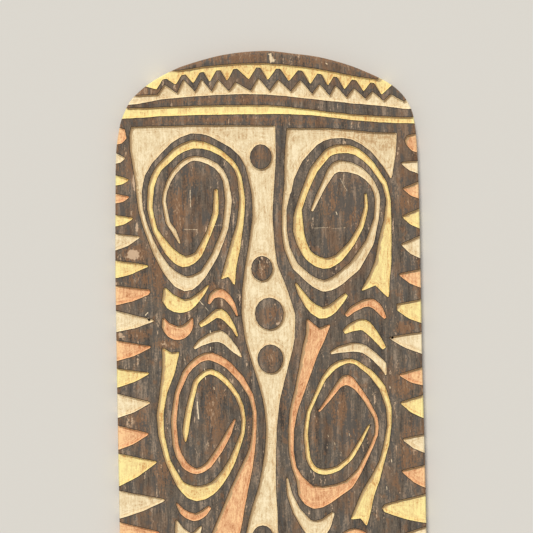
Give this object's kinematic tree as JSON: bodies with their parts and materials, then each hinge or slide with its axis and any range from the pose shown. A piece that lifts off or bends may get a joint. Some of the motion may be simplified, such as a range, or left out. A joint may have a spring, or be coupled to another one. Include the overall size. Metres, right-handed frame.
{
  "type": "carved war shield",
  "caption": "Long flat wooden war shield with a rounded top, its face cut in low relief with spiral eyes, crescents, a central spine and toothed borders, all painted in earth colours.",
  "frame": {"origin": "under the middle of the board's length and width, on the surface that it lies on", "axes": "+Z out of the carved face, +Y along the board towards its rounded top, +X across the board to the right as the face is seen"},
  "size_m": [0.43, 1.5, 0.022],
  "materials": {
    "carved_wood": "hand-carved hardwood, stained dark charcoal brown, with matte ochre and white earth paint in the cuts"
  },
  "bodies": {
    "root": {"carved_board": "carved_wood"}
  },
  "joints": []
}
